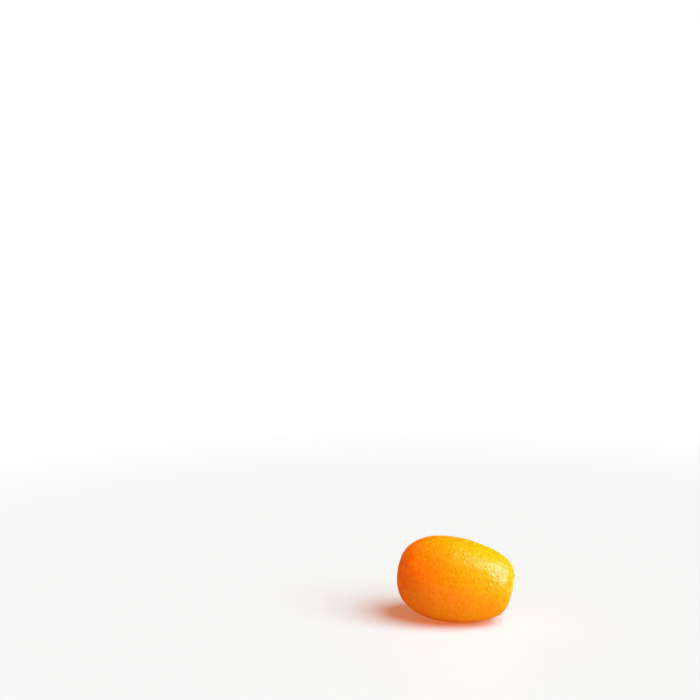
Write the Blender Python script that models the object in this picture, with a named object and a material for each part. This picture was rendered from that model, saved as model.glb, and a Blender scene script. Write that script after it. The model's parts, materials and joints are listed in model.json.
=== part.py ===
"""A whole oval kumquat, picked without its stem and lying on its side the way it comes to rest.

Units are metres and +Z is up. The origin is on the surface that the fruit lies on, under the middle of its
bounding box. The long axis runs along X: the stem end is at +X and dips a little, the blossom end is at -X.
"""

import math

import bmesh
import bpy
import numpy as np
from mathutils import Matrix, Vector

MM = 0.001

# Body, in its own axes: x along the fruit, y across, z up
HALF_LENGTH = 14.56 * MM
RADIUS = 11.0 * MM
BLUNTNESS = 3.24
TAPER = -0.103
BELLY = -0.018
SHOULDER = 0.108
OVALNESS = 0.037
BEND = -0.18 * MM
SKEW = -0.14 * MM

# Stem end: a small dimple above the long axis, with a raised lip, a low scar on its floor and faint furrows round it
DIMPLE_RISE = 2.0 * MM
DIMPLE_TURN = 60
DIMPLE_RADIUS = 1.35 * MM
DIMPLE_DEPTH = 0.7 * MM
DIMPLE_STEEPNESS = 3.0
LIP_RADIUS = 1.9 * MM
LIP_WIDTH = 0.8 * MM
LIP_HEIGHT = 0.16 * MM
SCAR_RADIUS = 0.8 * MM
SCAR_HEIGHT = 0.28 * MM
FURROWS = 5
FURROW_RADIUS = 2.9 * MM
FURROW_WIDTH = 1.3 * MM
FURROW_DEPTH = 0.1 * MM

# Blossom end: a shallow dent with the style's small scar standing in it
DENT_RADIUS = 1.7 * MM
DENT_DEPTH = 0.3 * MM
NIB_RADIUS = 0.5 * MM
NIB_HEIGHT = 0.2 * MM

# Rest: how far the stem end dips, and how much of the underside the fruit's own weight flattens
DIP = math.radians(5.3)
FLAT_DEPTH = 0.15 * MM

# Mesh
RINGS = 58
SIDES = 60
END_CROWDING = 0.6
WELD_DISTANCE = 0.0001 * MM

RIND_COLOUR = (0.87, 0.29, 0.012, 1.0)
RIND_ROUGHNESS = 0.42


def radius_at(t):
    """Radius at t, which runs from -1 at the blossom end to 1 at the stem end."""
    swell = 1 + TAPER * t + BELLY * t**2 + SHOULDER * t**3
    return RADIUS * (1 - t**2) ** (1 / BLUNTNESS) * swell


def meridian():
    """Points of the half outline from the stem pole to the blossom pole, closer together towards both poles."""
    t = np.cos(np.linspace(0, np.pi, 2001))
    outline = np.stack([HALF_LENGTH * t, radius_at(t)], axis=1)
    run = np.concatenate([[0], np.cumsum(np.linalg.norm(np.diff(outline, axis=0), axis=1))])
    u = np.linspace(0, 1, RINGS + 1)
    wanted = run[-1] * (u - END_CROWDING * np.sin(2 * np.pi * u) / (2 * np.pi))
    return [Vector((np.interp(s, run, outline[:, 0]), 0, np.interp(s, run, outline[:, 1]))) for s in wanted]


def hump(distance, radius, steepness=2.0):
    """Smooth hump of height 1 that has fallen to 0.37 at the radius."""
    return math.exp(-((abs(distance) / radius) ** steepness))


def stem_relief(y, z):
    """How far the stem end stands out along x at a point across it, measured from the dimple's middle."""
    reach = math.hypot(y, z)
    turn = math.atan2(z, y)
    lip = LIP_HEIGHT * hump(reach - LIP_RADIUS, LIP_WIDTH)
    dimple = DIMPLE_DEPTH * hump(reach, DIMPLE_RADIUS, DIMPLE_STEEPNESS)
    scar = SCAR_HEIGHT * hump(reach, SCAR_RADIUS, DIMPLE_STEEPNESS)
    furrows = FURROW_DEPTH * hump(reach - FURROW_RADIUS, FURROW_WIDTH) * (0.5 + 0.5 * math.cos(FURROWS * turn))
    return lip - dimple + scar - furrows


def blossom_relief(y, z):
    """How far the blossom end stands out along -x at a point across it."""
    reach = math.hypot(y, z)
    return NIB_HEIGHT * hump(reach, NIB_RADIUS) - DENT_DEPTH * hump(reach, DENT_RADIUS)


def grown(point):
    """Moves a point of the turned body to where it is on the fruit, which is slightly oval, bent and uneven."""
    t = point.x / HALF_LENGTH
    y = point.y * (1 + OVALNESS)
    z = point.z * (1 - OVALNESS)
    middle = (BEND + SKEW * t) * (1 - t**2)
    if t > 0:
        return Vector((point.x + stem_relief(y, z), y, z + middle + DIMPLE_RISE * t**DIMPLE_TURN))
    return Vector((point.x - blossom_relief(y, z), y, z + middle))


def turned_body():
    """The half outline spun once round the long axis."""
    bm = bmesh.new()
    points = [bm.verts.new(p) for p in meridian()]
    edges = [bm.edges.new(pair) for pair in zip(points, points[1:])]
    bmesh.ops.spin(
        bm,
        geom=points + edges,
        cent=(0, 0, 0),
        axis=(1, 0, 0),
        angle=2 * math.pi,
        steps=SIDES,
        use_merge=True,
    )
    bmesh.ops.remove_doubles(bm, verts=bm.verts, dist=WELD_DISTANCE)
    return bm


def lay_down(bm):
    """Turns the fruit to its resting pose and flattens the small spot that it lies on."""
    bmesh.ops.rotate(bm, verts=bm.verts, cent=(0, 0, 0), matrix=Matrix.Rotation(DIP, 3, "Y"))
    floor = min(v.co.z for v in bm.verts) + FLAT_DEPTH
    bmesh.ops.translate(bm, verts=bm.verts, vec=(0, 0, -floor))
    everything = bm.verts[:] + bm.edges[:] + bm.faces[:]
    cut = bmesh.ops.bisect_plane(
        bm, geom=everything, dist=WELD_DISTANCE, plane_co=(0, 0, 0), plane_no=(0, 0, 1), clear_inner=True
    )
    rim = [part for part in cut["geom_cut"] if isinstance(part, bmesh.types.BMEdge)]
    bmesh.ops.edgeloop_fill(bm, edges=rim)


def centre_over_origin(bm):
    """Puts the middle of the bounding box over the origin."""
    xs = [v.co.x for v in bm.verts]
    ys = [v.co.y for v in bm.verts]
    bmesh.ops.translate(bm, verts=bm.verts, vec=(-(min(xs) + max(xs)) / 2, -(min(ys) + max(ys)) / 2, 0))


def rind_material():
    material = bpy.data.materials.new("rind")
    material.use_nodes = True
    shader = material.node_tree.nodes["Principled BSDF"]
    shader.inputs["Base Color"].default_value = RIND_COLOUR
    shader.inputs["Roughness"].default_value = RIND_ROUGHNESS
    shader.inputs["Metallic"].default_value = 0.0
    material.diffuse_color = RIND_COLOUR
    return material


def make_kumquat():
    bm = turned_body()
    for vertex in bm.verts:
        vertex.co = grown(vertex.co)
    lay_down(bm)
    centre_over_origin(bm)
    bmesh.ops.recalc_face_normals(bm, faces=bm.faces)

    mesh = bpy.data.meshes.new("kumquat")
    bm.to_mesh(mesh)
    bm.free()
    mesh.shade_smooth()
    mesh.set_sharp_from_angle(angle=math.radians(40))
    mesh.materials.append(rind_material())
    kumquat = bpy.data.objects.new("kumquat", mesh)
    bpy.context.scene.collection.objects.link(kumquat)
    return kumquat


def main():
    for old in list(bpy.data.objects):
        bpy.data.objects.remove(old)
    make_kumquat()


main()
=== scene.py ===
"""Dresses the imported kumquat: a pitted waxy rind with its stem dimple and stylar scar, on a pale table.

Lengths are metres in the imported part's frame. The origin is on the table under the middle of the fruit, +X
runs along the fruit towards its stem end, and +Z is up.
"""

import json
import math

import bmesh
import bpy
import numpy as np
from mathutils import Matrix, Vector, kdtree, noise

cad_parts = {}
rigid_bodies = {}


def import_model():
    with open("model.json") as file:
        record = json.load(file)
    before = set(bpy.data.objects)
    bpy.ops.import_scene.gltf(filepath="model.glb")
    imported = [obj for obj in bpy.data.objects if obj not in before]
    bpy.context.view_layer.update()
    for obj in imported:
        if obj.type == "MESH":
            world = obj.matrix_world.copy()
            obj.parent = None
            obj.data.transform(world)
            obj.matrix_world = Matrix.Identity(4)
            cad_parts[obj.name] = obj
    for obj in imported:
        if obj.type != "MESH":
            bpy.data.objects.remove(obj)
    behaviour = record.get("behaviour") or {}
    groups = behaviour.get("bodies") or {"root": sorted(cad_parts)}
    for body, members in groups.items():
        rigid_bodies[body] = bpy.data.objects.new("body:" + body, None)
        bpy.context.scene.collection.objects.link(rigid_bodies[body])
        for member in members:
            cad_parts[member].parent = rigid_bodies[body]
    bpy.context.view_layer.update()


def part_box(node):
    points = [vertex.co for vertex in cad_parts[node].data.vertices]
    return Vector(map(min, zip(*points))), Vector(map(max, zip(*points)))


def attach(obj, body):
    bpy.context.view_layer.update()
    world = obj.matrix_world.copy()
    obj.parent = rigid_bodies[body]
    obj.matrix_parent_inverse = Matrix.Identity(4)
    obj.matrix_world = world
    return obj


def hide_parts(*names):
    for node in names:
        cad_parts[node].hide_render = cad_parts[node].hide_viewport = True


bl_info = {
    "name": "Kumquat",
    "version": (1, 0, 0),
    "blender": (4, 5, 0),
    "location": "3D View > Sidebar > Kumquat",
    "description": "A whole kumquat with its pitted rind, stem dimple and stylar scar, on a pale table",
    "category": "Object",
}

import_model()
FRUIT_LOW, FRUIT_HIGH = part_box("kumquat")

# One millimetre of the fruit's design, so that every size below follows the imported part's length
DESIGN_LENGTH = 29.55
MM = (FRUIT_HIGH.x - FRUIT_LOW.x) / DESIGN_LENGTH

# Body, in its own axes: x along the fruit towards the stem end, y across, z up
HALF_LENGTH = 14.56 * MM
RADIUS = 11.0 * MM
BLUNTNESS = 3.24
TAPER = -0.103
BELLY = -0.018
SHOULDER = 0.108
OVALNESS = 0.037
BEND = -0.18 * MM
SKEW = -0.14 * MM
DIP = math.radians(5.3)
OUTLINE_STEPS = 4001
NO_DISTANCE = 1e-9

# Stem end: the dimple with its lip, and the furrows and creases that run out of it
DIMPLE_RISE = 2.0 * MM
DIMPLE_TURN = 60
DIMPLE_RADIUS = 1.35 * MM
DIMPLE_DEPTH = 0.7 * MM
DIMPLE_STEEPNESS = 3.0
LIP_RADIUS = 1.9 * MM
LIP_WIDTH = 0.8 * MM
LIP_HEIGHT = 0.16 * MM
FURROWS = 5
FURROW_RADIUS = 2.9 * MM
FURROW_WIDTH = 1.3 * MM
FURROW_DEPTH = 0.1 * MM
CREASES = 19
CREASE_RADIUS = 1.45 * MM
CREASE_WIDTH = 0.5 * MM
CREASE_DEPTH = 0.025 * MM
CREASE_DRIFT = 2

# Stem scar, with its rim and the sunk ends of the bundles that fed the fruit
SCAR_RADIUS = 0.8 * MM
SCAR_HEIGHT = 0.28 * MM
RIM_RADIUS = 0.86 * MM
RIM_WIDTH = 0.13 * MM
RIM_HEIGHT = 0.07 * MM
RIM_BASE = 0.6
RIM_PATCHES = 0.4
BUNDLES = 5
BUNDLE_RING = 0.42 * MM
BUNDLE_RADIUS = 0.11 * MM
BUNDLE_DEPTH = 0.07 * MM

# Blossom end: a shallow dent with the style's scar standing in it
DENT_RADIUS = 1.7 * MM
DENT_DEPTH = 0.3 * MM
NIB_RADIUS = 0.5 * MM
NIB_HEIGHT = 0.2 * MM
STYLE_SPOT_RADIUS = 0.3 * MM
STYLE_SPOT_DEPTH = 0.05 * MM

# How far the rings at both ends wander from true circles, and how many waves they have round them
WAVES = (2, 3, 5, 8)
STEM_WANDER = 0.05
SCAR_WANDER = 0.04
SCAR_WAVES = (3, 7, 11)
RIM_WANDER = 0.6
RIM_WAVES = (3, 5, 9)
CREASE_WANDER = 0.5
BLOSSOM_WANDER = 0.06

# Colour masks of both ends: their reach, how sharply they stop, and their strength
GREEN_STEEPNESS = 6
CORK_RADIUS = 0.95 * MM
CORK_STEEPNESS = 8
RIM_DARKNESS = 0.75
BUNDLE_DARKNESS = 0.8
DENT_PALE_RADIUS = 1.0 * MM
DENT_PALENESS = 0.6
NIB_CORK = 0.7
NIB_STEEPNESS = 4
STYLE_SPOT_DARKNESS = 0.8

# Mesh: quads along each edge of the cube that is rounded, and how far round each end they are halved again
QUADS = 118
FINE_STEM_STEPS = (0.30, 0.16)
FINE_BLOSSOM_STEPS = (0.11, 0.07)
ON_END_FACE = 0.99
TABLE_SOFTNESS = 0.04 * MM

# Oil glands: sizes as shares of a middling one, and how far a pit reaches, in its own radii
SEED = 11
SMALLEST_GLAND = 0.55
GLAND_RANGE = 0.9
GLAND_REACH = 2.2
GLAND_TONES = (-0.5, 1)

# Swells and lumps of the rind, and how much of its relief the stem dimple's lip smooths away
NOISE_OFFSET = 50
BROAD_WAVE = 7.5 * MM
BROAD_SHARE = 0.7
SMALL_WAVE = 2.4 * MM
SMALL_SHARE = 0.3
LUMP_WAVE = 1.35 * MM
LIP_SMOOTHNESS = 0.3

# Patterns of the rind's colour
DRIFT_SIZE = 8 * MM
MOTTLE_SIZE = 0.9 * MM
MOTTLE_DETAIL = 3.0
SPECK_SPACING = 3.6 * MM
SPECKLESS_CELLS = 0.85
# The stem dimple's pale lip is partly its own colour and partly a painted highlight on its rim
LIP_PALENESS_AND_HIGHLIGHT = 0.6
DIMPLE_GREEN = 0.7

# Ramps of the rind's colour: two values of the pattern or mask, and the shares of the colour there
DRIFT_RAMP = (0.35, 0.7, 0.0, 0.5)
# The deeper blossom end is partly painted shade, and the golden stem end partly painted light from the key
# on the right
DEEP_BLOSSOM_AND_SHADE_RAMP = (0.35, 0.05)
GOLD_AND_LIGHT_RAMP = (0.3, 0.8, 0.0, 0.6)
GOLD_AND_LIGHT_END_RAMP = (0.7, 0.95, 1.0, 0.4)
MOTTLE_RAMP = (0.45, 0.75, 0.0, 0.3)
PALE_GLAND_RAMP = (0.2, 1.0, 0.0, 0.6)
DEEP_GLAND_RAMP = (-0.05, -0.5, 0.0, 0.5)
PIT_RAMP = (0.25, 1.1, 0.0, 0.5)
SPECK_RAMP = (0.07, 0.03, 0.0, 0.45)

# Finest relief, with heights in the design's millimetres
PORE_SPACING = 0.33 * MM
PORE_RAMP = (0.0, 0.5, 0.0, 0.012)
GRAIN_SIZE = 0.11 * MM
GRAIN_HEIGHT = 0.009
CORK_GRAIN_SIZE = 0.16 * MM
CORK_GRAIN_DETAIL = 4.0
CORK_GRAIN_HEIGHT = 0.12

# Finish of the rind: light goes some way in, under a thin coat of wax that is duller in patches
WAX_SIZE = 2.5 * MM
WAX_DETAIL = 3.0
WAX_RAMP = (0.2, 0.8)
WAX_CHANGE = 0.05
CORK_DRYNESS = 0.4
RIND_FINISH = {
    "Specular IOR Level": 0.04,
    "Specular Tint": (1.0, 0.6, 0.25, 1.0),
    "Subsurface Weight": 0.5,
    "Subsurface Radius": (1.0, 0.18, 0.05),
    "Subsurface Scale": 4 * MM,
    "Coat Weight": 0.125,
    "Coat Roughness": 0.17,
    "Coat IOR": 2.6,
}

# Table: it fades between two distances, in metres, and is dark where the rind's gloss reflects it
TABLE_RADIUS = 20.0
TABLE_SEGMENTS = 96
TABLE_FADE = (0.1, 0.8)
TABLE_FAR_OFF = (0.8, 0.8, 0.8)
TABLE_IN_GLOSS = (0.03, 0.03, 0.03)
TABLE_FINISH = {"Roughness": 0.55, "Specular IOR Level": 0.25}

# Lights: where they are, in degrees turned from +X and raised over the table, and how many degrees wide
WHITE = (1.0, 1.0, 1.0)
WARM = (1.0, 0.22, 0.05)
COOL = (0.8, 1.0, 1.0)
KEY_PLACE = (-10, 14)
KEY_WIDTH = 78
TOP_PLACE = (16, 63)
TOP_WIDTH = 70
BOUNCE_PLACE = (-160, 10)
BOUNCE_WIDTH = 120
GLINT_PLACE = (8.5, 57)
GLINT_WIDTH = 38
GLEAM_PLACE = (10, 26)
GLEAM_WIDTH = 60
ON_TABLE_PLACE = (-25, 47)
ON_TABLE_WIDTH = 56
OVERHEAD = Vector((0, 0, 1))

# Camera: how far it is turned and dips, and where the part's origin lies in front of it
CAMERA_TURN = math.radians(13.5)
CAMERA_DIP = math.radians(8)
SENSOR_WIDTH = 36.0
NEAREST_SEEN = 0.01
FARTHEST_SEEN = 20.0
ORIGIN_TO_RIGHT = 26.83 * MM
ORIGIN_DEPTH = 419.94 * MM
ORIGIN_BELOW = 68.51 * MM


class KumquatRindSettings(bpy.types.PropertyGroup):
    """Sizes and colours of the rind."""

    gland_spacing: bpy.props.FloatProperty(
        name="Gland spacing",
        description="Mean distance between neighbouring oil glands",
        default=0.78 * MM,
        min=0.4 * MM,
        unit="LENGTH",
    )
    gland_radius: bpy.props.FloatProperty(
        name="Gland radius",
        description="Radius of a middling gland's pit",
        default=0.27 * MM,
        unit="LENGTH",
    )
    gland_depth: bpy.props.FloatProperty(
        name="Gland depth",
        description="Depth of a middling gland's pit",
        default=0.075 * MM,
        unit="LENGTH",
    )
    unevenness: bpy.props.FloatProperty(
        name="Unevenness",
        description="Height of the rind's broad swells",
        default=0.09 * MM,
        unit="LENGTH",
    )
    lumps: bpy.props.FloatProperty(
        name="Lumps",
        description="Height of the small lumps between the glands",
        default=0.06 * MM,
        unit="LENGTH",
    )
    roughness: bpy.props.FloatProperty(
        name="Roughness",
        description="Mean roughness of the rind under its wax",
        default=0.35,
        min=0.0,
        max=1.0,
        subtype="FACTOR",
    )
    orange: bpy.props.FloatVectorProperty(
        name="Orange",
        description="Main colour of the rind",
        default=(0.78, 0.177, 0.0006),
        subtype="COLOR",
    )
    # Towards the blossom end this deeper orange is partly painted shade
    deep_orange: bpy.props.FloatVectorProperty(
        name="Deep orange",
        description="Colour of the deeper patches, the pits and the blossom end",
        default=(0.75, 0.138, 0.0006),
        subtype="COLOR",
    )
    # Towards the stem end this gold is partly painted light where the key falls
    gold: bpy.props.FloatVectorProperty(
        name="Gold",
        description="Colour towards the stem end",
        default=(0.83, 0.275, 0.0015),
        subtype="COLOR",
    )
    fleck: bpy.props.FloatVectorProperty(
        name="Fleck",
        description="Colour of the mottling and of the palest glands",
        default=(0.86, 0.34, 0.003),
        subtype="COLOR",
    )
    # On the stem dimple's lip this pale colour is partly a painted highlight
    lip: bpy.props.FloatVectorProperty(
        name="Lip",
        description="Pale colour of the stem dimple's lip",
        default=(0.83, 0.36, 0.05),
        subtype="COLOR",
    )
    green: bpy.props.FloatVectorProperty(
        name="Green",
        description="Olive inside the stem dimple",
        default=(0.36, 0.19, 0.012),
        subtype="COLOR",
    )
    cork: bpy.props.FloatVectorProperty(
        name="Cork",
        description="Dry colour of the scars",
        default=(0.27, 0.165, 0.06),
        subtype="COLOR",
    )
    brown: bpy.props.FloatVectorProperty(
        name="Brown",
        description="Colour of the specks and of the scars' dark parts",
        default=(0.19, 0.062, 0.015),
        subtype="COLOR",
    )


class KumquatStageSettings(bpy.types.PropertyGroup):
    """The table, the light and the camera."""

    table: bpy.props.FloatVectorProperty(
        name="Table",
        description="Colour of the table near the fruit",
        default=(0.46, 0.46, 0.457),
        subtype="COLOR",
    )
    key: bpy.props.FloatProperty(
        name="Key",
        description="Strength of the broad low light on the right",
        default=9.1,
        min=0.0,
    )
    top: bpy.props.FloatProperty(
        name="Top",
        description="Strength of the broad light overhead",
        default=2.95,
        min=0.0,
    )
    glint: bpy.props.FloatProperty(
        name="Glint",
        description="Strength of the high light that glints on the rind",
        default=1.2,
        min=0.0,
    )
    gleam: bpy.props.FloatProperty(
        name="Gleam",
        description="Strength of the low light that shows only in the rind's gloss",
        default=6.3,
        min=0.0,
    )
    bounce: bpy.props.FloatProperty(
        name="Bounce",
        description="Strength of the warm light on the shaded side",
        default=2.3,
        min=0.0,
    )
    on_table: bpy.props.FloatProperty(
        name="On the table",
        description="Strength of the light that casts the shadow",
        default=6.25,
        min=0.0,
    )
    passed: bpy.props.FloatVectorProperty(
        name="Passed",
        description="Share of the light that reaches the table through the fruit",
        default=(0.58, 0.17, 0.05),
        subtype="COLOR",
    )
    fill: bpy.props.FloatProperty(
        name="Fill",
        description="Share of the white surroundings that lights matt surfaces",
        default=0.2,
        min=0.0,
    )
    sheen: bpy.props.FloatProperty(
        name="Sheen",
        description="Share of the white surroundings that gloss reflects",
        default=0.03,
        min=0.0,
    )
    lens: bpy.props.FloatProperty(
        name="Lens",
        description="Focal length on a 36 mm wide sensor, in millimetres",
        default=85.0,
        min=1.0,
    )


def hump(distance, radius, steepness=2.0):
    """Smooth hump of height 1 that has fallen to 0.37 at the radius."""
    return np.exp(-((np.abs(distance) / radius) ** steepness))


def radius_at(t):
    """Radius of the body at t, which runs from -1 at the blossom end to 1 at the stem end."""
    swell = 1 + TAPER * t + BELLY * t**2 + SHOULDER * t**3
    return RADIUS * np.clip(1 - t**2, 0, None) ** (1 / BLUNTNESS) * swell


def turned_points(directions):
    """Points of the turned body, one for each direction from its middle, even along its outline."""
    t = np.cos(np.linspace(0, np.pi, OUTLINE_STEPS))
    along, out = HALF_LENGTH * t, radius_at(t)
    run = np.concatenate([[0], np.cumsum(np.hypot(np.diff(along), np.diff(out)))])
    aside = np.hypot(directions[:, 1], directions[:, 2])
    wanted = np.arctan2(aside, directions[:, 0]) / np.pi * run[-1]
    radius = np.interp(wanted, run, out) / np.maximum(aside, NO_DISTANCE)
    x = np.interp(wanted, run, along)
    y = radius * directions[:, 1] * (1 + OVALNESS)
    z = radius * directions[:, 2] * (1 - OVALNESS)
    return np.stack([x, y, z], axis=1)


def ragged(turn, rng, amount, waves=WAVES):
    """A factor near 1 that wanders round an end, so that nothing there is a true circle."""
    wander = sum(np.cos(wave * turn + rng.uniform(0, 2 * np.pi)) / math.sqrt(wave) for wave in waves)
    return 1 + amount * wander


def stem_end(y, z, rng):
    """Height of the stem end's relief along x, and its colour masks, at points across it."""
    turn = np.arctan2(z, y)
    reach = np.hypot(y, z) * ragged(turn, rng, STEM_WANDER)
    lip = hump(reach - LIP_RADIUS, LIP_WIDTH)
    dimple = hump(reach, DIMPLE_RADIUS, DIMPLE_STEEPNESS)
    scar_reach = reach * ragged(turn, rng, SCAR_WANDER, SCAR_WAVES)
    scar = hump(scar_reach, SCAR_RADIUS, DIMPLE_STEEPNESS)
    patches = RIM_BASE + RIM_PATCHES * ragged(turn, rng, RIM_WANDER, RIM_WAVES)
    rim = hump(scar_reach - RIM_RADIUS, RIM_WIDTH) * patches
    sector = 2 * np.pi / BUNDLES
    nearest = np.round(turn / sector) * sector
    from_bundle = np.hypot(y - BUNDLE_RING * np.cos(nearest), z - BUNDLE_RING * np.sin(nearest))
    bundle = hump(from_bundle, BUNDLE_RADIUS)
    furrow = hump(reach - FURROW_RADIUS, FURROW_WIDTH) * (0.5 + 0.5 * np.cos(FURROWS * turn))
    drift = CREASE_DRIFT * ragged(turn, rng, CREASE_WANDER)
    crease = hump(reach - CREASE_RADIUS, CREASE_WIDTH) * np.cos(CREASES * turn + drift)
    height = (
        LIP_HEIGHT * lip
        - DIMPLE_DEPTH * dimple
        + SCAR_HEIGHT * scar
        + RIM_HEIGHT * rim
        - BUNDLE_DEPTH * bundle
        - FURROW_DEPTH * furrow
        - CREASE_DEPTH * crease
    )
    masks = {
        "lip": lip,
        "dimple": hump(reach, DIMPLE_RADIUS, GREEN_STEEPNESS),
        "cork": hump(scar_reach, CORK_RADIUS, CORK_STEEPNESS),
        "dark": np.clip(RIM_DARKNESS * rim + BUNDLE_DARKNESS * bundle, 0, 1),
    }
    return height, masks


def blossom_end(y, z, rng):
    """Height of the blossom end's relief along -x, and its colour masks, at points across it."""
    turn = np.arctan2(z, y)
    reach = np.hypot(y, z) * ragged(turn, rng, BLOSSOM_WANDER)
    nib = hump(reach, NIB_RADIUS)
    dent = hump(reach, DENT_RADIUS)
    spot = hump(reach, STYLE_SPOT_RADIUS, NIB_STEEPNESS)
    height = NIB_HEIGHT * nib - DENT_DEPTH * dent - STYLE_SPOT_DEPTH * spot
    masks = {
        "lip": DENT_PALENESS * hump(reach, DENT_PALE_RADIUS),
        "dimple": np.zeros(len(reach)),
        "cork": NIB_CORK * hump(reach, NIB_RADIUS, NIB_STEEPNESS),
        "dark": STYLE_SPOT_DARKNESS * spot,
    }
    return height, masks


def swells(points, size, rng):
    """Smooth noise from -1 to 1 at each point, with lumps of about that size."""
    offset = Vector(rng.uniform(-NOISE_OFFSET, NOISE_OFFSET, 3))
    return np.array([noise.noise(Vector(p) / size + offset) for p in points])


def scatter_glands(points, spacing, rng):
    """Middles and sizes of the oil glands, no two nearer than their mean size times the spacing."""
    sizes = SMALLEST_GLAND + GLAND_RANGE * rng.beta(2, 2, len(points))
    cells, chosen = {}, []
    widest = (SMALLEST_GLAND + GLAND_RANGE) * spacing
    for index in rng.permutation(len(points)):
        point = points[index]
        x, y, z = (int(c) for c in np.floor(point / widest))
        near = (
            other
            for i in (x - 1, x, x + 1)
            for j in (y - 1, y, y + 1)
            for k in (z - 1, z, z + 1)
            for other in cells.get((i, j, k), ())
        )
        size = sizes[index]
        if all(math.dist(point, points[o]) > spacing * (size + sizes[o]) / 2 for o in near):
            cells.setdefault((x, y, z), []).append(index)
            chosen.append(index)
    return points[chosen], sizes[chosen]


def gland_pits(points, glands, sizes, radius, rng):
    """How deep in a gland each point lies, which is 1 in the middle of a middling one, and its tone."""
    tree = kdtree.KDTree(len(points))
    for index, point in enumerate(points):
        tree.insert(point, index)
    tree.balance()
    depth = np.zeros(len(points))
    tone = np.zeros(len(points))
    for gland, size, own_tone in zip(glands, sizes, rng.uniform(*GLAND_TONES, len(glands))):
        for _, index, distance in tree.find_range(gland, GLAND_REACH * radius * size):
            share = math.exp(-((distance / (radius * size)) ** 2))
            depth[index] += size * share
            tone[index] += own_tone * share
    return depth, tone


def rounded_cube():
    """A cube of even quads, finer round the poles at +X and -X, blown up to a unit sphere."""
    bm = bmesh.new()
    bmesh.ops.create_cube(bm, size=2)
    bmesh.ops.subdivide_edges(bm, edges=bm.edges[:], cuts=QUADS - 1, use_grid_fill=True)
    for side, steps in ((1, FINE_STEM_STEPS), (-1, FINE_BLOSSOM_STEPS)):
        for step in steps:
            edges = set()
            for face in bm.faces:
                middle = face.calc_center_median()
                if side * middle.x > ON_END_FACE and middle.yz.length < step:
                    edges.update(face.edges)
            bmesh.ops.subdivide_edges(bm, edges=list(edges), cuts=1, use_grid_fill=True)
    for vertex in bm.verts:
        vertex.co = Vector([math.tan(c * math.pi / 4) for c in vertex.co]).normalized()
    bmesh.ops.recalc_face_normals(bm, faces=bm.faces)
    mesh = bpy.data.meshes.new("kumquat_rind")
    bm.to_mesh(mesh)
    bm.free()
    return mesh


def read_points(mesh):
    values = np.empty(len(mesh.vertices) * 3, np.float32)
    mesh.vertices.foreach_get("co", values)
    return values.reshape(-1, 3).astype(float)


def write_points(mesh, points):
    mesh.vertices.foreach_set("co", points.astype(np.float32).ravel())
    mesh.update()


def read_normals(mesh):
    values = np.empty(len(mesh.vertices) * 3, np.float32)
    mesh.vertex_normals.foreach_get("vector", values)
    return values.reshape(-1, 3).astype(float)


def laid_down(points):
    """The points turned to the resting pose."""
    turn = np.array(Matrix.Rotation(DIP, 3, "Y"))
    return points @ turn.T


def grow_rind(mesh, look):
    """Gives the rounded cube the fruit's form, relief and masks, and lays it where the solid lies."""
    rng = np.random.default_rng(SEED)
    points = turned_points(read_points(mesh))
    x, y, z = points.T
    t = x / HALF_LENGTH
    stem_height, stem_masks = stem_end(y, z, rng)
    blossom_height, blossom_masks = blossom_end(y, z, rng)
    is_stem = t > 0
    grown_x = x + np.where(is_stem, stem_height, -blossom_height)
    rise = np.where(is_stem, DIMPLE_RISE * np.abs(t) ** DIMPLE_TURN, 0)
    grown_z = z + (BEND + SKEW * t) * (1 - t**2) + rise
    smooth = np.stack([grown_x, y, grown_z], axis=1)
    write_points(mesh, smooth)
    normals = read_normals(mesh)

    masks = {name: np.where(is_stem, stem_masks[name], blossom_masks[name]) for name in stem_masks}
    glands, sizes = scatter_glands(smooth, look.gland_spacing, rng)
    depth, tone = gland_pits(smooth, glands, sizes, look.gland_radius, rng)
    open_rind = 1 - np.clip(LIP_SMOOTHNESS * masks["lip"] + masks["dimple"] + masks["cork"], 0, 1)
    swell = BROAD_SHARE * swells(smooth, BROAD_WAVE, rng) + SMALL_SHARE * swells(smooth, SMALL_WAVE, rng)
    lumps = swells(smooth, LUMP_WAVE, rng)
    height = look.unevenness * swell + look.lumps * lumps - look.gland_depth * depth
    height *= open_rind
    placed = laid_down(smooth + normals * height[:, None])

    plain = laid_down(smooth)
    middle = (plain.min(axis=0) + plain.max(axis=0)) / 2
    wanted = (FRUIT_LOW + FRUIT_HIGH) / 2
    placed[:, 0] += wanted.x - middle[0]
    placed[:, 1] += wanted.y - middle[1]
    placed[:, 2] += FRUIT_HIGH.z - plain[:, 2].max()
    above = placed[:, 2] - FRUIT_LOW.z
    placed[:, 2] = FRUIT_LOW.z + (above + np.hypot(above, TABLE_SOFTNESS)) / 2
    write_points(mesh, placed)

    masks["pit"] = depth * open_rind
    masks["tone"] = tone * open_rind
    masks["stemward"] = (t + 1) / 2
    for name, values in masks.items():
        attribute = mesh.attributes.new(name, "FLOAT", "POINT")
        attribute.data.foreach_set("value", values.astype(np.float32))


def add_node(tree, kind, inputs=None, **settings):
    """A node with its settings, and its inputs set to values or linked to other nodes' outputs."""
    node = tree.nodes.new(kind)
    for name, value in settings.items():
        setattr(node, name, value)
    for name, value in (inputs or {}).items():
        if isinstance(value, bpy.types.NodeSocket):
            tree.links.new(value, node.inputs[name])
        else:
            node.inputs[name].default_value = value
    return node


def calculate(tree, operation, first, second=0.0, clamp=False):
    node = add_node(tree, "ShaderNodeMath", {0: first, 1: second}, operation=operation, use_clamp=clamp)
    return node.outputs[0]


def multiply(tree, first, second):
    return calculate(tree, "MULTIPLY", first, second)


def ramp(tree, value, start, end, low=0.0, high=1.0):
    """Goes smoothly from low to high while the value goes from start to end."""
    inputs = {"Value": value, "From Min": start, "From Max": end, "To Min": low, "To Max": high}
    return add_node(tree, "ShaderNodeMapRange", inputs, interpolation_type="SMOOTHSTEP").outputs["Result"]


def rgba(colour):
    return colour if isinstance(colour, bpy.types.NodeSocket) else (*colour, 1.0)


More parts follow.
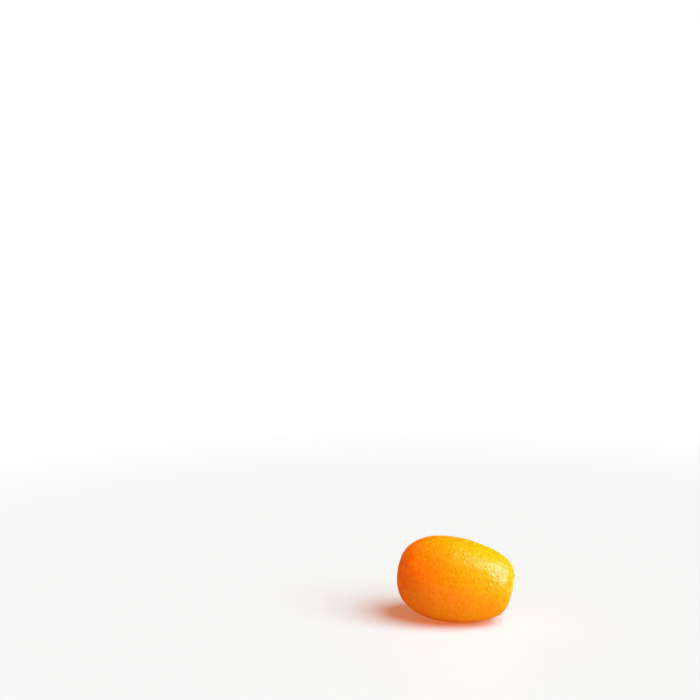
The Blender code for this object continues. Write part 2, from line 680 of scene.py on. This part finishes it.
def mix(tree, share, first, second):
    """Blend of two colours by a share of the second."""
    node = add_node(tree, "ShaderNodeMix", {0: share, 6: rgba(first), 7: rgba(second)}, data_type="RGBA")
    return node.outputs[2]


def mask(tree, name):
    return add_node(tree, "ShaderNodeAttribute", attribute_name=name).outputs["Fac"]


def cloud(tree, place, size, detail=2.0):
    """Noise from 0 to 1 with features of about that size."""
    inputs = {"Vector": place, "Scale": 1 / size, "Detail": detail}
    return add_node(tree, "ShaderNodeTexNoise", inputs).outputs["Fac"]


def cells(tree, place, size):
    """The nearest cell's distance, in cell sizes, and its own random colour."""
    node = add_node(tree, "ShaderNodeTexVoronoi", {"Vector": place, "Scale": 1 / size})
    return node.outputs["Distance"], node.outputs["Color"]


def new_material(name, finish):
    """A material with its node tree and its shader, whose plain values are set from the finish."""
    material = bpy.data.materials.new(name)
    material.use_nodes = True
    shader = material.node_tree.nodes["Principled BSDF"]
    for socket, value in finish.items():
        shader.inputs[socket].default_value = value
    return material, material.node_tree, shader


def rind_colour(tree, place, look):
    """Orange with glands, specks and scars, deeper towards the blossom end and golden towards the stem end,
    each partly the rind's own colour and partly painted shade and painted light.
    """
    drift = ramp(tree, cloud(tree, place, DRIFT_SIZE), *DRIFT_RAMP)
    colour = mix(tree, drift, look.orange, look.deep_orange)
    stemward = mask(tree, "stemward")
    # Painted shade, in part: deeper orange towards the blossom end, the side turned away from the key
    colour = mix(tree, ramp(tree, stemward, *DEEP_BLOSSOM_AND_SHADE_RAMP), colour, look.deep_orange)
    # Painted light, in part: gold towards the stem end, which faces the key, easing off at the very tip
    end = ramp(tree, stemward, *GOLD_AND_LIGHT_END_RAMP)
    golden_and_lit = multiply(tree, ramp(tree, stemward, *GOLD_AND_LIGHT_RAMP), end)
    colour = mix(tree, golden_and_lit, colour, look.gold)
    mottle = ramp(tree, cloud(tree, place, MOTTLE_SIZE, MOTTLE_DETAIL), *MOTTLE_RAMP)
    colour = mix(tree, mottle, colour, look.fleck)
    tone = mask(tree, "tone")
    colour = mix(tree, ramp(tree, tone, *PALE_GLAND_RAMP), colour, look.fleck)
    colour = mix(tree, ramp(tree, tone, *DEEP_GLAND_RAMP), colour, look.deep_orange)
    colour = mix(tree, ramp(tree, mask(tree, "pit"), *PIT_RAMP), colour, look.deep_orange)
    distance, chance = cells(tree, place, SPECK_SPACING)
    draw = add_node(tree, "ShaderNodeSeparateColor", {0: chance}).outputs[0]
    picked = calculate(tree, "GREATER_THAN", draw, SPECKLESS_CELLS)
    speck = multiply(tree, ramp(tree, distance, *SPECK_RAMP), picked)
    colour = mix(tree, speck, colour, look.brown)
    # Pale stem dimple lip, partly its own colour and partly a painted highlight; at the blossom end, the
    # pale ring of the dent
    colour = mix(tree, multiply(tree, mask(tree, "lip"), LIP_PALENESS_AND_HIGHLIGHT), colour, look.lip)
    colour = mix(tree, multiply(tree, mask(tree, "dimple"), DIMPLE_GREEN), colour, look.green)
    colour = mix(tree, mask(tree, "cork"), colour, look.cork)
    return mix(tree, mask(tree, "dark"), colour, look.brown)


def rind_bump(tree, place):
    """The finest relief: small pores between the glands, the cuticle's grain and the scars' rough cork."""
    pore_distance, _ = cells(tree, place, PORE_SPACING)
    pores = ramp(tree, pore_distance, *PORE_RAMP)
    grain = multiply(tree, cloud(tree, place, GRAIN_SIZE), GRAIN_HEIGHT)
    cork_grain = cloud(tree, place, CORK_GRAIN_SIZE, CORK_GRAIN_DETAIL)
    cork = multiply(tree, cork_grain, mask(tree, "cork"))
    on_rind = calculate(tree, "ADD", pores, grain)
    height = calculate(tree, "ADD", on_rind, multiply(tree, cork, CORK_GRAIN_HEIGHT))
    bump = add_node(tree, "ShaderNodeBump", {"Strength": 1.0, "Distance": MM, "Height": height})
    return bump.outputs["Normal"]


def rind_material(look):
    material, tree, shader = new_material("kumquat_rind", RIND_FINISH)
    place = add_node(tree, "ShaderNodeTexCoord").outputs["Object"]
    tree.links.new(rind_colour(tree, place, look), shader.inputs["Base Color"])
    patches = cloud(tree, place, WAX_SIZE, WAX_DETAIL)
    wax = ramp(tree, patches, *WAX_RAMP, look.roughness - WAX_CHANGE, look.roughness + WAX_CHANGE)
    dry = multiply(tree, mask(tree, "cork"), CORK_DRYNESS)
    tree.links.new(calculate(tree, "ADD", wax, dry, clamp=True), shader.inputs["Roughness"])
    tree.links.new(rind_bump(tree, place), shader.inputs["Normal"])
    return material


def table_material(stage):
    """Pale matt table top, which fades to white away from the fruit."""
    material, tree, shader = new_material("table", TABLE_FINISH)
    place = add_node(tree, "ShaderNodeTexCoord").outputs["Object"]
    distance = add_node(tree, "ShaderNodeVectorMath", {0: place}, operation="LENGTH").outputs["Value"]
    colour = mix(tree, ramp(tree, distance, *TABLE_FADE), stage.table, TABLE_FAR_OFF)
    is_gloss = add_node(tree, "ShaderNodeLightPath").outputs["Is Glossy Ray"]
    tree.links.new(mix(tree, is_gloss, colour, TABLE_IN_GLOSS), shader.inputs["Base Color"])
    return material


def make_table(stage):
    bm = bmesh.new()
    bmesh.ops.create_circle(bm, cap_ends=True, segments=TABLE_SEGMENTS, radius=TABLE_RADIUS)
    bmesh.ops.translate(bm, verts=bm.verts, vec=(0, 0, FRUIT_LOW.z))
    mesh = bpy.data.meshes.new("table")
    bm.to_mesh(mesh)
    bm.free()
    mesh.materials.append(table_material(stage))
    table = bpy.data.objects.new("table", mesh)
    bpy.context.scene.collection.objects.link(table)
    return table


def towards(turn, rise):
    """Direction of a light from how many degrees it is turned from +X and raised over the table."""
    turn, rise = math.radians(turn), math.radians(rise)
    return Vector((math.cos(turn) * math.cos(rise), math.sin(turn) * math.cos(rise), math.sin(rise)))


def add_light(name, lit, direction, width, strength, colour=WHITE, **seen):
    """A sun on the pieces of one collection, with its width in degrees and the rays that see it."""
    light = bpy.data.lights.new(name, "SUN")
    light.angle = math.radians(width)
    light.energy = strength
    light.color = colour
    lamp = bpy.data.objects.new(name, light)
    lamp.location = direction
    lamp.rotation_euler = direction.to_track_quat("Z", "Y").to_euler()
    lamp.light_linking.receiver_collection = lit
    for kind, is_seen in seen.items():
        setattr(lamp, kind, is_seen)
    bpy.context.scene.collection.objects.link(lamp)
    return lamp


def light_fruit(stage, table):
    """Broad soft lights on everything but the table, some for its colour and some for its gloss."""
    fruit = bpy.data.collections.new("lit_fruit")
    for piece in bpy.context.scene.objects:
        if piece.type == "MESH" and piece != table:
            fruit.objects.link(piece)
    matt = {"visible_glossy": False}
    add_light("key", fruit, towards(*KEY_PLACE), KEY_WIDTH, stage.key, COOL, **matt)
    add_light("top", fruit, towards(*TOP_PLACE), TOP_WIDTH, stage.top, COOL, **matt)
    add_light("bounce", fruit, towards(*BOUNCE_PLACE), BOUNCE_WIDTH, stage.bounce, WARM, **matt)
    add_light("glint", fruit, towards(*GLINT_PLACE), GLINT_WIDTH, stage.glint)
    add_light("gleam", fruit, towards(*GLEAM_PLACE), GLEAM_WIDTH, stage.gleam, visible_diffuse=False)


def light_table(stage, table):
    """Two lights that add up to white: what the fruit stops, with a shadow, and what it lets through."""
    top = bpy.data.collections.new("lit_table")
    top.objects.link(table)
    matt = {"visible_glossy": False}
    place = towards(*ON_TABLE_PLACE)
    stopped = [1 - share for share in stage.passed]
    add_light("on_table", top, place, ON_TABLE_WIDTH, stage.on_table / place.z, stopped, **matt)
    passed = add_light("through_fruit", top, OVERHEAD, 0, stage.on_table, tuple(stage.passed), **matt)
    passed.data.use_shadow = False


def make_surroundings(stage):
    """White to the camera all round, but dimmer where it lights a matt surface or shows in gloss."""
    world = bpy.data.worlds.new("surroundings")
    world.use_nodes = True
    tree = world.node_tree
    rays = add_node(tree, "ShaderNodeLightPath").outputs
    unseen = ramp(tree, rays["Is Glossy Ray"], 0.0, 1.0, stage.fill, stage.sheen)
    seen = calculate(tree, "MAXIMUM", rays["Is Camera Ray"], unseen)
    tree.links.new(seen, tree.nodes["Background"].inputs["Strength"])
    tree.nodes["Background"].inputs["Color"].default_value = rgba(WHITE)
    bpy.context.scene.world = world


def make_camera(stage):
    """The photograph's view, given by where the part's origin lies in front of the lens."""
    across = Vector((math.cos(CAMERA_TURN), math.sin(CAMERA_TURN), 0))
    level = Vector((-math.sin(CAMERA_TURN), math.cos(CAMERA_TURN), 0))
    forward = level * math.cos(CAMERA_DIP) - Vector((0, 0, math.sin(CAMERA_DIP)))
    up = across.cross(forward)
    data = bpy.data.cameras.new("camera")
    data.lens = stage.lens
    data.sensor_width = SENSOR_WIDTH
    data.clip_start = NEAREST_SEEN
    data.clip_end = FARTHEST_SEEN
    camera = bpy.data.objects.new("camera", data)
    place = Matrix((across, up, -forward)).transposed().to_4x4()
    place.translation = -across * ORIGIN_TO_RIGHT - forward * ORIGIN_DEPTH + up * ORIGIN_BELOW
    camera.matrix_world = place
    bpy.context.scene.collection.objects.link(camera)
    bpy.context.scene.camera = camera


class KUMQUAT_OT_rind(bpy.types.Operator):
    """Adds the kumquat: one closed skin with its glands, stem dimple and stylar scar"""

    bl_idname = "kumquat.rind"
    bl_label = "Kumquat"

    def execute(self, context):
        look = context.scene.kumquat_rind
        mesh = rounded_cube()
        grow_rind(mesh, look)
        mesh.shade_smooth()
        mesh.materials.append(rind_material(look))
        rind = bpy.data.objects.new("kumquat_rind", mesh)
        context.scene.collection.objects.link(rind)
        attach(rind, "root")
        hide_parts("kumquat")
        return {"FINISHED"}


class KUMQUAT_OT_stage(bpy.types.Operator):
    """Adds the pale table, the soft light, the white surroundings and the camera"""

    bl_idname = "kumquat.stage"
    bl_label = "Table, light and camera"

    def execute(self, context):
        stage = context.scene.kumquat_stage
        table = make_table(stage)
        light_fruit(stage, table)
        light_table(stage, table)
        make_surroundings(stage)
        make_camera(stage)
        context.scene.view_settings.view_transform = "Standard"
        return {"FINISHED"}


class KUMQUAT_PT_sidebar(bpy.types.Panel):
    """Lists the fruit's and the stage's settings"""

    bl_label = "Kumquat"
    bl_space_type = "VIEW_3D"
    bl_region_type = "UI"
    bl_category = "Kumquat"

    def draw(self, context):
        for settings, operator in (
            (context.scene.kumquat_rind, KUMQUAT_OT_rind.bl_idname),
            (context.scene.kumquat_stage, KUMQUAT_OT_stage.bl_idname),
        ):
            box = self.layout.box()
            for name in settings.bl_rna.properties.keys():
                if name not in ("rna_type", "name"):
                    box.prop(settings, name)
            box.operator(operator)


CLASSES = (KumquatRindSettings, KumquatStageSettings, KUMQUAT_OT_rind, KUMQUAT_OT_stage, KUMQUAT_PT_sidebar)


def register():
    for cls in CLASSES:
        bpy.utils.register_class(cls)
    bpy.types.Scene.kumquat_rind = bpy.props.PointerProperty(type=KumquatRindSettings)
    bpy.types.Scene.kumquat_stage = bpy.props.PointerProperty(type=KumquatStageSettings)


def unregister():
    del bpy.types.Scene.kumquat_stage
    del bpy.types.Scene.kumquat_rind
    for cls in reversed(CLASSES):
        bpy.utils.unregister_class(cls)


def main():
    register()
    bpy.ops.kumquat.rind()
    bpy.ops.kumquat.stage()


if __name__ == "__main__":
    main()
